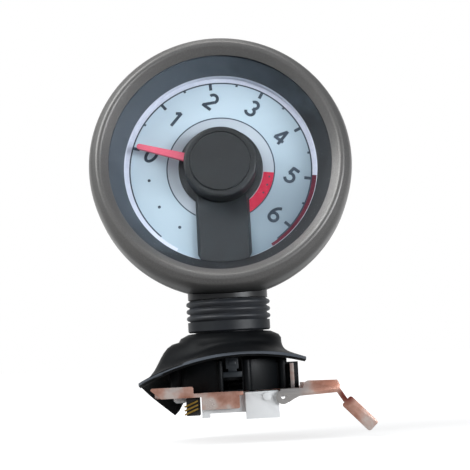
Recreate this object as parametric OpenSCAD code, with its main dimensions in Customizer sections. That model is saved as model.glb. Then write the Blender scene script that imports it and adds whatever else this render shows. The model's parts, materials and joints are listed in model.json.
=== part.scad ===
// Dashboard rev counter: a round pod that tilts on a short ribbed neck, above a
// flared foot cover, a base housing, a sheet-steel bracket and a plug socket.
// Millimetres. The origin is on the neck's axis, in the bracket's upper face.
// The dial faces -Y and leans back; +Z is up.

/* [Pod] */
// Radius of the pod at its widest
pod_r = 42.5; // [41.5:0.25:46]
// Angle by which the dial leans back
lean = 9.5; // [0:0.5:15]
// Height of the bezel's ridge above the dial
ridge_w = 14.3; // [13.8:0.1:15]
// Distance of the bezel's ridge inside the pod's edge
ridge_in = 4.5; // [4:0.1:5]
// Distance of the window's edge inside the pod's edge
window_in = 7; // [6.6:0.1:7.5]
// Depth of the rear shell behind the bezel's edge
shell_depth = 27.8; // [26:0.1:34]
// Wall of the rear shell
shell_wall = 2; // [1.5:0.1:2.4]

/* [Dial] */
// Width of the mask ring round the dial
mask_w = 5.7; // [5:0.1:7]
// Thickness of the dial plate
dial_t = 0.8; // [0.5:0.1:1.2]
// Height of the mask ring above the dial
mask_h = 8.6; // [7:0.1:9.4]
// Thickness of the lens
lens_t = 1.5; // [1:0.1:1.8]
// Rise of the lens's dome
lens_rise = 3.4; // [3:0.1:3.8]
// Radius of the fixed collar below the needle cap
collar_disc_r = 13.8; // [13:0.1:16]
// Height of that collar
collar_disc_h = 1.7; // [1:0.1:2]
// Width of the strip's flat top
strip_w = 15.6; // [10:0.2:18]
// Height of the strip
strip_h = 3; // [2:0.1:3.6]

/* [Needle] */
// Length of the needle from its axis
needle_len = 28.1; // [20:0.1:30]
// Width of the needle at its tip
needle_tip_w = 1.7; // [1:0.1:2.2]
// Width of the needle at the cap
needle_root_w = 2.6; // [2.2:0.1:3.6]
// Thickness of the needle
needle_t = 1.2; // [0.8:0.1:1.5]
// Angle of the needle at zero, from the right hand side
zero_angle = 163.2; // [150:1:180]
// Radius of the needle cap
cap_r = 11.8; // [9:0.1:12.2]
// Height of the cap's top above the dial
cap_top = 9.2; // [8.6:0.05:10.2]
// Radius of the groove in the cap's top
cap_groove_r = 9.8; // [7:0.1:10]

/* [Motor] */
// Teeth of the output gear
output_teeth = 60; // [50:1:66]
// Teeth of the small pinion that drives it
middle_pinion_teeth = 10; // [10:1:12]
// Tooth size of that pair
output_module = 0.25; // [0.22:0.01:0.26]
// Teeth of the middle wheel
middle_teeth = 48; // [40:1:50]
// Teeth of the rotor's pinion
rotor_teeth = 12; // [11:1:14]
// Tooth size of that pair
rotor_module = 0.2; // [0.18:0.01:0.21]
// Distance of the rotor's axis from the needle's axis
rotor_drop = 14; // [13.6:0.1:14.4]
// Depth of the motor
motor_depth = 10.2; // [9.6:0.1:11]

/* [Board] */
// Gap round the circuit board
board_gap = 0.7; // [0.5:0.1:3]
// Thickness of the circuit board
board_t = 1.6; // [1:0.1:2]
// Distance of the board's screws from its edge
board_screw_in = 6.4; // [5:0.1:8]
// Number of lamps
lamp_count = 6; // [4:1:8]

/* [Neck] */
// Radius of the plain band at the neck's foot
band_r = 13.3; // [13:0.1:14]
// Height of the plain band
band_h = 3.3; // [2.5:0.1:6]
// Radius of the sleeve's ribs
rib_r = 13.6; // [13.2:0.1:14]
// Depth of the grooves between the ribs
rib_depth = 1; // [0.5:0.1:1.2]
// Height of the ribbed sleeve
sleeve_h = 7; // [6.8:0.1:9]
// Number of ribs
rib_count = 3; // [2:1:4]
// Radius of the pod's boss above the sleeve
boss_r = 12.9; // [12.5:0.1:13.4]
// Radius of the tilt pins
tilt_pin_r = 1.5; // [1.2:0.1:1.8]
// Radius of the ears round the tilt pins
ear_r = 3; // [2.7:0.1:3.2]
// Radius of the swivel spigot
spigot_r = 11; // [10.5:0.1:11.4]
// Radius of the wire loom
loom_r = 2.2; // [1.5:0.1:2.6]

/* [Foot] */
// Radius of the foot cover's collar
foot_collar_r = 16.6; // [16.4:0.1:18]
// Height of the collar's top above the bracket
foot_top = 18.7; // [18:0.1:22]
// Wall of the foot cover
foot_wall = 1.6; // [1.2:0.1:1.8]
// Reach of the rim to the right of the neck
rim_right = 24.4; // [23:0.1:27]
// Reach of the rim to the left of the neck
rim_left = 30.3; // [29:0.1:34]
// Height of the rim's highest point
rim_top = 12.3; // [12:0.1:14]
// Radius of the rounded surface that the foot cover sits over
saddle_r = 70; // [60:1:90]
// Offset of that surface's crown to the right
saddle_x = 4.5; // [0:0.5:6]
// Drop of the pointed tongue at the rear left
tongue_drop = 14.5; // [0:0.5:16]
// Direction of that tongue
tongue_dir = 135; // [120:5:145]
// Angle over which the tongue tapers to each side
tongue_spread = 40; // [25:1:50]

/* [Base] */
// Radius of the base housing
drum_r = 17.3; // [17:0.1:17.6]
// Height of the base housing's drum
drum_h = 11; // [10:0.1:11.2]
// Wall of the base housing
drum_wall = 1.6; // [1.2:0.1:2]
// Width of the slot window
slot_w = 6; // [5:0.1:7]
// Height of the slot window
slot_h = 10.2; // [8:0.1:10.2]

/* [Bracket] */
// Thickness of the bracket's sheet
sheet_t = 1.2; // [0.8:0.1:1.5]
// Distance of each mounting hole from the neck's axis
hole_x = 21.5; // [21.5:0.1:26]
// Radius of the mounting holes
hole_r = 2.1; // [1.6:0.05:2.4]
// Reach of the bracket to the left
plate_left = 24.9; // [24.8:0.1:30]
// Reach of the front flange's left lip
wing_left = 25.3; // [22:0.1:27]
// Reach of the front flange's arm to the right
arm_right = 33.5; // [31:0.1:36]
// Height of the arm
arm_h = 3.9; // [3.4:0.1:5]
// Length of the bent end tab
tab_len = 11.8; // [9:0.1:15]
// Width of the bent end tab
tab_w = 4.1; // [3.4:0.1:5]
// Angle of the end tab below level
tab_angle = 46.5; // [30:0.5:60]
// Height of the centre lip
lip_h = 5.3; // [3.5:0.1:6]

/* [Socket] */
// Width of the plug socket
socket_w = 10.4; // [10:0.1:12]
// Depth of the plug socket from front to back
socket_d = 9; // [8:0.1:10]
// Height of the plug socket
socket_h = 8.3; // [8:0.1:10]
// Wall of the plug socket
socket_wall = 1.5; // [1:0.1:1.6]
// Number of terminals across the socket
pin_count = 4; // [3:1:5]

/* [Hidden] */
$fn = 96;

// Colours
TAUPE = "#74716d";
BLACK = "#24282b";
SLATE = "#3d4650";
DIAL = "#cfdbe6";
RED = "#cf4a5f";
CLEAR = "#dfeaf0";
WHITE = "#eeeeea";
BOARD = "#2f6b45";
STEEL = "#b9b4ae";
PLATED = "#b08c7a";
GOLD = "#d2a848";
COPPER = "#b5652f";

// Clearances
running = 0.05;     // radial, a shaft in its bearing
gap = 0.2;          // between neighbours that don't touch
free = 0.3;         // between bodies that move past each other
eps = 0.01;         // past a cut's end

// The pod's own frame has +Z out of the dial and +Y up its face.
dial_y = -0.4;
swivel_z = foot_top + free;
band_top = swivel_z + band_h;
sleeve_top = band_top + sleeve_h;
boss_z = sleeve_top + gap;
boss_lip = -0.6;       // the pod's belly reaches below the boss
dial_z = boss_z + boss_lip + (pod_r - dial_y * sin(lean)) / cos(lean);
ear_gap = 0.6;
tilt_z = boss_z - ear_gap - ear_r;

// Stations along the pod's axis, from the dial's face at 0
seam_w = -0.2;
guide_t = 2;
guide_top = -dial_t - gap;
guide_back = guide_top - guide_t;
lamp_room = 2.4;        // between the light guide and the board
board_front = guide_back - lamp_room;
board_back = board_front - board_t;
motor_back = board_back - motor_depth;
ridge_r = pod_r - ridge_in;
window_r = pod_r - window_in;
lip_w = 1.8;                // of the bezel over the lens
bore_r = window_r + lip_w;  // the bezel's inner sleeve
disc_r = bore_r - gap;      // what sits in that sleeve
dial_show_r = disc_r - mask_w;
board_r = disc_r - board_gap;
board_screw_circle = board_r - board_screw_in;
sleeve_wall = 1.5;
outer_wall = 1.9;
lens_edge = mask_h + 0.1;
lens_top = lens_edge + lens_t;

// Point lists
function arc(c, r, a0, a1, n) =
    [for (i = [0:n]) let(a = a0 + (a1 - a0) * i / n) c + r * [cos(a), sin(a)]];
function bezier(p, n) =
    [for (i = [0:n]) let(t = i / n, s = 1 - t)
        s * s * s * p[0] + 3 * s * s * t * p[1] + 3 * s * t * t * p[2] + t * t * t * p[3]];
function reversed(p) = [for (i = [len(p) - 1:-1:0]) p[i]];
function tail(p) = [for (i = [1:len(p) - 1]) p[i]];
function unit(v) = v / norm(v);
function tangent(p, i) = unit(p[min(i + 1, len(p) - 1)] - p[max(i - 1, 0)]);
// A path moved sideways by d, to the left of its direction
function shifted(p, d) =
    [for (i = [0:len(p) - 1]) let(t = tangent(p, i)) p[i] + d * [-t[1], t[0]]];
function mix(a, b, k) = a * (1 - k) + b * k;
function limited(v) = max(0, min(1, v));

// Involute gear outline
PRESSURE = 20;
function involute(rb, a) = rb * [cos(a) + a * PI / 180 * sin(a), sin(a) - a * PI / 180 * cos(a)];
function roll_angle(rb, r) = sqrt(max(0, pow(r / rb, 2) - 1)) * 180 / PI;
function polar(r, a) = r * [cos(a), sin(a)];
function angle_of(p) = atan2(p[1], p[0]);
function gear_outline(n, m, add, back) = let(
        r = n * m / 2,
        rb = r * cos(PRESSURE),
        ra = r + add * m,
        rf = r - 1.3 * m,
        half = 90 / n - back * 90 / (PI * r),
        start = max(rb, rf),
        at_pitch = angle_of(involute(rb, roll_angle(rb, r))),
        flank = [for (k = [0:3]) let(
                q = involute(rb, roll_angle(rb, mix(start, ra, k / 3))))
            [norm(q), half + at_pitch - angle_of(q)]])
    [for (i = [0:n - 1]) let(c = 360 * i / n) each concat(
        [polar(rf, c - flank[0][1])],
        [for (f = flank) polar(f[0], c - f[1])],
        [for (f = reversed(flank)) polar(f[0], c + f[1])],
        [polar(rf, c + flank[0][1])])];

module at_pod() translate([0, dial_y, dial_z]) rotate([90 - lean, 0, 0]) children();
module ring(r0, r1, h, z = 0) translate([0, 0, z]) difference() {
    cylinder(r = r1, h = h);
    translate([0, 0, -eps]) cylinder(r = r0, h = h + 2 * eps);
}
module rod(r, z0, z1) translate([0, 0, z0]) cylinder(r = r, h = z1 - z0);
module around(count, radius, first = 0)
    for (i = [0:count - 1]) rotate(first + 360 * i / count) translate([radius, 0, 0]) children();

// Bezel

nose = 1.7;
nose_from = 74;
nose_to = 150;
nose_c = [ridge_r, ridge_w - nose];
belt_w = [3, 6, 9.8, 12.8];     // from the seam: the widest band, and the brow above it
brow = 1.2;
bezel_outer = concat(
    [[pod_r - 0.1, seam_w], [pod_r, seam_w + belt_w[0]]],
    bezier([[pod_r, seam_w + belt_w[1]], [pod_r, seam_w + belt_w[2]],
        [pod_r - brow, seam_w + belt_w[3]], nose_c + polar(nose, nose_from - 8)], 9),
    arc(nose_c, nose, nose_from, nose_to, 7));
bezel_inner = [
    [window_r, lens_top + 0.8],
    [window_r, lens_top + 0.1],
    [bore_r, lens_top + 0.1],
    [bore_r, guide_back],
    [bore_r + sleeve_wall, guide_back],
    [bore_r + sleeve_wall, lens_top - 0.6],
    [pod_r - outer_wall - 0.5, lens_top - 1.6],
    [pod_r - outer_wall, seam_w + belt_w[1]],
    [pod_r - outer_wall, seam_w]];

module bezel_ring() color(TAUPE) at_pod()
    rotate_extrude() polygon(concat(bezel_outer, bezel_inner));

// Rear shell, with the boss that stands on the neck

shell_front = seam_w - gap;
tongue_in = bore_r + sleeve_wall + gap;
tongue_out = pod_r - outer_wall - gap;
tongue_h = 2;
shell_back = seam_w - shell_depth;
haunch = [13, 5];       // in from the edge and up from the back, where the side meets it
haunch_pull = [21.6, 1.1];
back_flat = 11;
side_pull = [0.3, 0.66, 4];
shell_outer = concat(
    bezier([[pod_r - 0.1, shell_front], [pod_r - 0.1, shell_front - side_pull[0] * shell_depth],
        [pod_r - side_pull[2], shell_front - side_pull[1] * shell_depth],
        [pod_r - haunch[0], shell_back + haunch[1]]], 8),
    tail(bezier([[pod_r - haunch[0], shell_back + haunch[1]],
        [pod_r - haunch_pull[0], shell_back + haunch_pull[1]],
        [back_flat, shell_back], [0, shell_back]], 7)));
shell_inner = concat(
    [[pod_r - 0.1 - shell_wall, shell_front]],
    [for (p = tail(shifted(shell_outer, -shell_wall))) [max(p[0], 0), p[1]]]);
lug_t = 2.5;
lug_in = loom_r + 1.2;
lug_out = lug_in + lug_t;
washer_t = 0.3;
ear_in = lug_out + washer_t;
ear_t = 2.5;
ear_out = ear_in + ear_t;
lug_r = min(ear_r - 0.2, tilt_z - band_top - free);
post_r = 3;
pilot_r = 1;
boss_reach = 9;

module shell_posts() around(3, board_screw_circle, 90) rod(post_r, shell_back, board_back);
module shell_cavity() rotate_extrude() polygon(concat(shell_inner, [[0, shell_front]]));
module tilt_lug(side) {
    translate([side * (lug_in + lug_out) / 2 - lug_t / 2, 0, 0]) {
        translate([0, 0, tilt_z]) rotate([0, 90, 0]) cylinder(r = lug_r, h = lug_t);
        translate([0, -lug_r, tilt_z]) cube([lug_t, 2 * lug_r, boss_z + 1 - tilt_z]);
    }
}
module rear_shell() color(TAUPE) {
    difference() {
        union() {
            at_pod() rotate_extrude() polygon(concat(shell_outer, [[0, shell_front]]));
            rod(boss_r, boss_z, boss_z + boss_reach);
            for (side = [-1, 1]) tilt_lug(side);
        }
        difference() {
            at_pod() shell_cavity();
            at_pod() shell_posts();
        }
        at_pod() translate([0, 0, shell_front]) cylinder(r = pod_r + gap, h = 2 * pod_r);
        at_pod() around(3, board_screw_circle, 90) rod(pilot_r, board_back - 7, board_back + eps);
        rod(loom_r + 0.7, boss_z + 2 * boss_lip - eps, boss_z + boss_reach);
        translate([-pod_r, 0, tilt_z]) rotate([0, 90, 0])
            cylinder(r = tilt_pin_r + running, h = 2 * pod_r);
    }
    at_pod() rotate_extrude() polygon([
        [tongue_in, shell_front - 2.8], [tongue_out + 0.8, shell_front - 2.8],
        [tongue_out + 0.8, shell_front - 0.2], [tongue_out, shell_front - 0.2],
        [tongue_out, seam_w + tongue_h], [tongue_in, seam_w + tongue_h]]);
}

// Window side

lens_ball = (window_r * window_r + lens_rise * lens_rise) / (2 * lens_rise);
lens_dome = [for (i = [0:8]) let(r = (window_r - 0.4) * (1 - i / 8))
    [r, lens_edge + lens_rise - lens_ball + sqrt(lens_ball * lens_ball - r * r)]];

module lens() color(CLEAR, 0.35) at_pod() rotate_extrude() polygon(concat(
    [[disc_r, lens_edge], [disc_r, lens_top]],
    [for (p = lens_dome) [p[0], p[1] + lens_t]],
    reversed(lens_dome)));

mask_rim = 1.2;
mask_foot = 2;
seat = 0.05;            // under the mask, above the dial
function mask_wall(w) =
    mix(dial_show_r, disc_r - mask_rim, (w - mask_foot) / (mask_h - mask_foot));
module mask_ring() color(SLATE) at_pod() rotate_extrude() polygon([
    [disc_r, seat], [disc_r, mask_h], [disc_r - mask_rim, mask_h], [dial_show_r, mask_foot],
    [dial_show_r, seat], [dial_show_r + 1.5, seat],
    [disc_r - 1.1, mask_h - 1.6], [disc_r - 1.1, seat]]);

// Dial and what stands on it

shaft_hole = 3;
peg_r = 0.8;
peg_x = 9;

module pegs(r, z0, z1) for (x = [-peg_x, peg_x]) translate([x, 0, 0]) rod(r, z0, z1);
module dial_plate() color(DIAL) at_pod() difference() {
    rod(disc_r, -dial_t, 0);
    rod(shaft_hole, -dial_t - eps, eps);
    pegs(peg_r + 0.1, -dial_t - eps, eps);
}
strip_draft = 1;
module hub_trim() color(BLACK) at_pod() {
    difference() {
        rod(collar_disc_r, 0.02, collar_disc_h);
        rod(shaft_hole - 0.6, 0, collar_disc_h + eps);
    }
    difference() {
        intersection() {
            rotate([90, 0, 0]) linear_extrude(disc_r) polygon([
                [-strip_w / 2 - strip_draft, 0.02], [strip_w / 2 + strip_draft, 0.02],
                [strip_w / 2, strip_h], [-strip_w / 2, strip_h]]);
            cylinder(r1 = mask_wall(0) - gap, r2 = mask_wall(strip_h) - gap, h = strip_h);
        }
        rod(cap_r + 0.5, -eps, strip_h + eps);
    }
    pegs(peg_r, guide_back, 0.5);
}

// Needle and cap, with the root under the cap's top

cap_t = 0.9;
cap_wall = 1.4;
needle_w0 = strip_h + free;
needle_hub_r = 4;
shaft_r = 0.75;

module needle() color(RED) at_pod() rotate(zero_angle) {
    difference() {
        union() {
            rod(needle_hub_r, needle_w0 - 0.4, cap_top - cap_t);
            translate([0, 0, needle_w0]) linear_extrude(needle_t) polygon(concat(
                [[0, needle_root_w / 2], [0, -needle_root_w / 2],
                 [cap_r, -needle_root_w / 2]],
                arc([needle_len - needle_tip_w / 2, 0], needle_tip_w / 2, -90, 90, 6),
                [[cap_r, needle_root_w / 2]]));
        }
        rod(shaft_r, 0, needle_w0 + needle_t);
    }
}
cap_profile = [
    [0, cap_top - cap_t], [cap_r - cap_wall, cap_top - cap_t],
    [cap_r - cap_wall, collar_disc_h + free], [cap_r, collar_disc_h + free],
    [cap_r, cap_top - 0.8], [cap_r - 0.25, cap_top - 0.35], [cap_r - 0.7, cap_top - 0.15],
    [cap_groove_r + 0.25, cap_top - 0.15], [cap_groove_r, cap_top - 0.4],
    [cap_groove_r - 0.25, cap_top - 0.1], [cap_groove_r / 2, cap_top - 0.02], [0, cap_top]];
module needle_cap() color(BLACK) at_pod() rotate(zero_angle) difference() {
    rotate_extrude() polygon(cap_profile);
    translate([0, -needle_root_w / 2 - 0.05, needle_w0 - 0.05])
        cube([cap_r + 1, needle_root_w + 0.1, needle_t + 0.1]);
}

// Light guide, reflector and board

notch_w = 12;
notch_d = 5.9;
notch_v = board_r - notch_d;

module wire_notch(z0, z1)
    translate([-notch_w / 2, -disc_r - 1, z0]) cube([notch_w, disc_r + 1 - notch_v, z1 - z0]);
module light_guide() color(CLEAR, 0.6) at_pod() difference() {
    rod(disc_r, guide_back, guide_top);
    rod(shaft_hole, guide_back - eps, guide_top + eps);
    pegs(peg_r + 0.1, guide_back - eps, guide_top + eps);
}
module reflector_ring() color(WHITE) at_pod() difference() {
    rotate_extrude() polygon([[board_r, board_front + 0.02], [board_r, guide_back - 0.02],
        [board_r - 1.6, guide_back - 0.02], [board_r - 3.4, board_front + 0.02]]);
    wire_notch(board_front - 1, guide_back + 1);
}
module circuit_board() color(BOARD) at_pod() difference() {
    rod(board_r, board_back, board_front);
    rod(shaft_hole - 0.5, board_back - eps, board_front + eps);
    around(3, board_screw_circle, 90) rod(pilot_r + 0.3, board_back - eps, board_front + eps);
    wire_notch(board_back - 1, board_front + 1);
}
lamp_r = 21;
lamp_first = 30;
lamp_size = [3.2, 2.8, 1.1];
lamp_dome = [1.1, 0.5];
module lamps() color("#f3f1d8") at_pod() around(lamp_count, lamp_r, lamp_first)
    translate([-lamp_size[0] / 2, -lamp_size[1] / 2, board_front]) {
        cube(lamp_size);
        translate([lamp_size[0] / 2, lamp_size[1] / 2, lamp_size[2]])
            cylinder(r = lamp_dome[0], h = lamp_dome[1]);
    }
chip_at = [-17, 9];
chip_size = [7, 10, 1.7];
chip_gap = 0.1;
leg_size = [1, 0.45];
leg_pitch = 1.27;
leg_count = 7;
module driver_chip() color("#1d1f22") at_pod()
    translate([chip_at[0], chip_at[1], board_back - chip_gap - chip_size[2]]) {
        cube(chip_size);
        for (side = [0, 1], i = [0:leg_count - 1])
            translate([side * (chip_size[0] + leg_size[0]) - leg_size[0],
                (chip_size[1] - (leg_count - 1) * leg_pitch - leg_size[1]) / 2 + i * leg_pitch,
                2 * chip_gap])
                cube([leg_size[0], leg_size[1], chip_size[2] - chip_gap]);
    }
screw_head_r = 2.4;
module board_screws() color(STEEL) at_pod() around(3, board_screw_circle, 90) difference() {
    union() {
        rod(pilot_r, board_back - 6, board_front);
        rotate_extrude() polygon([[0, board_front], [screw_head_r, board_front],
            [screw_head_r, board_front + 0.7], [screw_head_r * 0.7, board_front + 1.3],
            [0, board_front + 1.5]]);
    }
    for (a = [0, 90]) rotate(a) translate([-1.4, -0.3, board_front + 0.7]) cube([2.8, 0.6, 1]);
}

// Stepper motor behind the board

middle_gap = (output_teeth + middle_pinion_teeth) * output_module / 2;
rotor_gap = (middle_teeth + rotor_teeth) * rotor_module / 2;
middle_y = -(rotor_drop * rotor_drop + middle_gap * middle_gap - rotor_gap * rotor_gap)
    / (2 * rotor_drop);
middle_x = sqrt(middle_gap * middle_gap - middle_y * middle_y);
middle_at = [middle_x, middle_y];
rotor_at = [0, -rotor_drop];
to_middle = angle_of(middle_at);
to_rotor = angle_of(rotor_at - middle_at);
case_wall = 1;
room_top = board_back - case_wall;
room_back = motor_back + case_wall;
split_w = (board_back + motor_back) / 2;
gear_t = 1.2;
output_w = room_back + 2.6;
middle_w = output_w + gear_t + 1;
pin_r = 0.4;
magnet_r = 3;
magnet_w = room_back + 1.2;
magnet_h = 3.4;
coil_r = 2.6;
coil_len = 6.4;
coil_x = 8.4;
coil_w = magnet_w + magnet_h / 2;
motor_wide = coil_x + coil_len / 2 + 2.4;
motor_low = rotor_drop + magnet_r + 2.2;
gear_tip_r = (output_teeth / 2 + 1) * output_module;
neck_y = middle_y;

module motor_outline(grow) {
    circle(r = gear_tip_r + 0.6 + grow);
    polygon([[-motor_wide - grow, -motor_low - grow], [motor_wide + grow, -motor_low - grow],
        [motor_wide + grow, neck_y + grow], [gear_tip_r + grow, 0],
        [-gear_tip_r - grow, 0], [-motor_wide - grow, neck_y + grow]]);
}
module motor_case() color("#33383b") at_pod() difference() {
    translate([0, 0, split_w]) linear_extrude(board_back - split_w) motor_outline(case_wall);
    translate([0, 0, split_w - eps]) linear_extrude(room_top - split_w + eps) motor_outline(0);
    rod(shaft_r + running, split_w, board_back + eps);
    translate(middle_at) rod(pin_r, split_w, room_top + 0.6);
    translate(rotor_at) rod(pin_r + running, split_w, room_top + 0.6);
}
module motor_cover() color(WHITE) at_pod() difference() {
    union() {
        difference() {
            translate([0, 0, motor_back]) linear_extrude(split_w - motor_back)
                motor_outline(case_wall);
            translate([0, 0, room_back]) linear_extrude(split_w - room_back + eps)
                motor_outline(0);
        }
        rod(1.8, room_back - eps, output_w - 0.3);
        translate(middle_at) rod(1.1, room_back - eps, output_w - 0.5);
        translate(rotor_at) rod(1.2, room_back - eps, magnet_w - 0.3);
    }
    rod(shaft_r + running, motor_back + 0.6, split_w);
    translate(middle_at) rod(pin_r, motor_back + 0.5, split_w);
    translate(rotor_at) rod(pin_r + running, motor_back + 0.5, split_w);
}
module gear_pin() color(STEEL) at_pod() translate(middle_at)
    rod(pin_r, motor_back + 0.5, room_top + 0.5);
module output_gear() color(WHITE) at_pod() {
    translate([0, 0, output_w]) linear_extrude(gear_t) rotate(to_middle)
        polygon(gear_outline(output_teeth, output_module, 0.8, 0.03));
    rod(1.9, output_w + gear_t, output_w + gear_t + 0.8);
    rod(shaft_r, motor_back + 0.7, needle_w0 + needle_t);
}
module middle_gear() color(WHITE) at_pod() translate(middle_at) difference() {
    union() {
        translate([0, 0, output_w - 0.2]) linear_extrude(middle_w - output_w + 0.2)
            rotate(to_middle + 180 + 180 / middle_pinion_teeth)
                polygon(gear_outline(middle_pinion_teeth, output_module, 0.9, 0.03));
        translate([0, 0, middle_w]) linear_extrude(gear_t) rotate(to_rotor)
            polygon(gear_outline(middle_teeth, rotor_module, 0.8, 0.03));
    }
    rod(pin_r + running, output_w - 1, middle_w + gear_t + eps);
}
module rotor() color("#4a4d52") at_pod() translate(rotor_at) {
    rod(magnet_r, magnet_w, magnet_w + magnet_h);
    rod(pin_r, motor_back + 0.7, room_top + 0.4);
    translate([0, 0, magnet_w + magnet_h]) linear_extrude(middle_w + gear_t + 0.2 - magnet_w - magnet_h)
        rotate(to_rotor + 180 + 180 / rotor_teeth)
            polygon(gear_outline(rotor_teeth, rotor_module, 0.9, 0.03));
}
core_t = 1;
core_w = 2.2;
module stator_core() color(STEEL) at_pod() translate([0, -rotor_drop, coil_w - core_t / 2])
    linear_extrude(core_t) difference() {
        union() {
            circle(r = magnet_r + 1.4);
            square([2 * (coil_x + coil_len / 2 + 0.9), core_w], center = true);
        }
        circle(r = magnet_r + free);
    }
module coils() color(COPPER) at_pod() translate([0, -rotor_drop, coil_w])
    for (side = [-1, 1]) translate([side * coil_x - coil_len / 2, 0, 0]) difference() {
        rotate([0, 90, 0]) union() {
            cylinder(r = coil_r - 0.3, h = coil_len);
            cylinder(r = coil_r, h = 0.5);
            translate([0, 0, coil_len - 0.5]) cylinder(r = coil_r, h = 0.5);
        }
        translate([-eps, -core_w / 2, -core_t / 2]) cube([coil_len + 2 * eps, core_w, core_t]);
    }

// Wires: a short plug on the board, then three lengths down to the socket

plug_size = [9, 5, 4];
plug_in = 1;            // of the plug inside the board's notch
plug_v = -notch_v + plug_in + plug_size[1] / 2;
module board_plug() color(WHITE) at_pod()
    translate([-plug_size[0] / 2, plug_v - plug_size[1] / 2, board_back - plug_size[2]])
        cube(plug_size);
bend_z = dial_z + dial_y * sin(lean) - (notch_v + loom_r + 0.7) * cos(lean);
module pod_loom() color(BLACK) {
    rod(loom_r, tilt_z + 0.3, bend_z);
    translate([0, 0, bend_z]) sphere(r = loom_r);
    plug_edge = plug_v - plug_size[1] / 2;
    at_pod() translate([0, plug_edge, board_back - loom_r - 0.2]) rotate([90, 0, 0])
        cylinder(r = loom_r, h = notch_v + loom_r + 0.5 + plug_edge);
}
loom_foot = 2.6;
wire_r = 1.2;
wire_z = wire_r + 0.05;
wire_end = [6.4, -10.4];
module neck_loom() color(BLACK) rod(loom_r, loom_foot, tilt_z - 0.3);
module base_loom() color(BLACK) {
    rod(wire_r - 0.1, wire_z, loom_foot - 0.1);
    translate([0, 0, wire_z]) rotate([0, 90, angle_of(wire_end)]) translate([0, 0, -wire_r])
        cylinder(r = wire_r, h = norm(wire_end) + 2 * wire_r);
    translate(wire_end) rod(wire_r - 0.1, socket_top, wire_z);
}

// Neck

bore_in = loom_r + 1.3;
register_h = 1.2;
sleeve_in = band_r - 2;
groove_z = 4.4;
ring_t = 1.2;
groove_depth = 0.8;

module ear(side) translate([side * (ear_in + ear_out) / 2 - ear_t / 2, 0, 0]) {
    translate([0, 0, tilt_z]) rotate([0, 90, 0]) cylinder(r = ear_r, h = ear_t);
    translate([0, -ear_r, band_top - 0.5]) cube([ear_t, 2 * ear_r, tilt_z - band_top + 0.5]);
}
module neck_tube() color(BLACK) difference() {
    union() {
        rotate_extrude() polygon([
            [bore_in, groove_z - 1], [spigot_r, groove_z - 1], [spigot_r, groove_z],
            [spigot_r - groove_depth, groove_z],
            [spigot_r - groove_depth, groove_z + ring_t + gap],
            [spigot_r, groove_z + ring_t + gap], [spigot_r, swivel_z],
            [band_r - 0.4, swivel_z], [band_r, swivel_z + 0.4], [band_r, band_top],
            [sleeve_in - 0.1, band_top], [sleeve_in - 0.1, band_top + register_h],
            [sleeve_in - 1.5, band_top + register_h], [sleeve_in - 1.5, band_top],
            [bore_in, band_top]]);
        for (side = [-1, 1]) ear(side);
    }
    translate([-band_r, 0, tilt_z]) rotate([0, 90, 0])
        cylinder(r = tilt_pin_r, h = 2 * band_r);
}
rib_pitch = (sleeve_h - 0.2) / rib_count;
function rib_points(i) = let(z = band_top + 0.1 + i * rib_pitch, c = rib_r - rib_depth) [
    [c, z], [c, z + 0.12 * rib_pitch],
    [rib_r - 0.25, z + 0.26 * rib_pitch], [rib_r, z + 0.42 * rib_pitch],
    [rib_r, z + 0.62 * rib_pitch], [rib_r - 0.25, z + 0.78 * rib_pitch],
    [c, z + 0.92 * rib_pitch]];
module ribbed_sleeve() color(BLACK) rotate_extrude() polygon(concat(
    [[sleeve_in, band_top], [rib_r - rib_depth, band_top]],
    [for (i = [0:rib_count - 1]) each rib_points(i)],
    [[rib_r - rib_depth, sleeve_top], [sleeve_in, sleeve_top]]));
module swivel_ring() color(STEEL) difference() {
    ring(spigot_r - groove_depth, spigot_r + 1.6, ring_t, groove_z + gap / 2);
    translate([0, -1.5, 0]) cube([spigot_r + 3, 3, groove_z + 3]);
}
module tilt_pins() color(STEEL) for (side = [-1, 1]) translate([side < 0 ? -ear_out : lug_in, 0, tilt_z])
    rotate([0, 90, 0]) cylinder(r = tilt_pin_r, h = ear_out - lug_in);
module friction_washers() color(STEEL) for (side = [-1, 1])
    translate([side * (lug_out + washer_t / 2) - washer_t / 2 + 0.02, 0, tilt_z])
        rotate([0, 90, 0]) ring(tilt_pin_r + 0.05, ear_r - 0.4, washer_t - 0.04);

// Foot cover: a collar that blends into a rim cut to sit on a rounded surface

angles = 72;
stations = 9;
tongue_taper = 1.4;
function lobe(a, width) = pow(max(0, 1 - abs(a) / width), tongue_taper);
shoulder = [[-3.2, -0.2], [-0.7, -1.4], [0, -2.5]];     // of the collar, from its top edge
throat = [[0, 2.5], [1, 2.4]];          // controls of the steep flare
belly = [[7.3, -3.2], [5.9, 1.9]];      // controls of the domed flare
dome_from = 9.2;
dome_over = 5;
ledge = 1.6;            // rise of the inside to the collar's wall
function rim_reach(a) = rim_right
    + (rim_left - rim_right) * pow((1 + cos(a - 178)) / 2, 1.6);
function rim_height(a) = let(x = rim_reach(a) * cos(a))
    rim_top - pow(x - saddle_x, 2) / (2 * saddle_r)
        - tongue_drop * lobe(a - tongue_dir, tongue_spread);
function flare(a) = let(
        z = rim_height(a),
        top = [foot_collar_r, foot_top] + shoulder[2],
        dome = limited((foot_top - z - dome_from) / dome_over))
    bezier([top,
        mix([foot_collar_r, z] + throat[0], [foot_collar_r, foot_top] + belly[0], dome),
        mix([foot_collar_r, z] + throat[1], [foot_collar_r, z] + belly[1], dome),
        [rim_reach(a), z]], stations);
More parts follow.
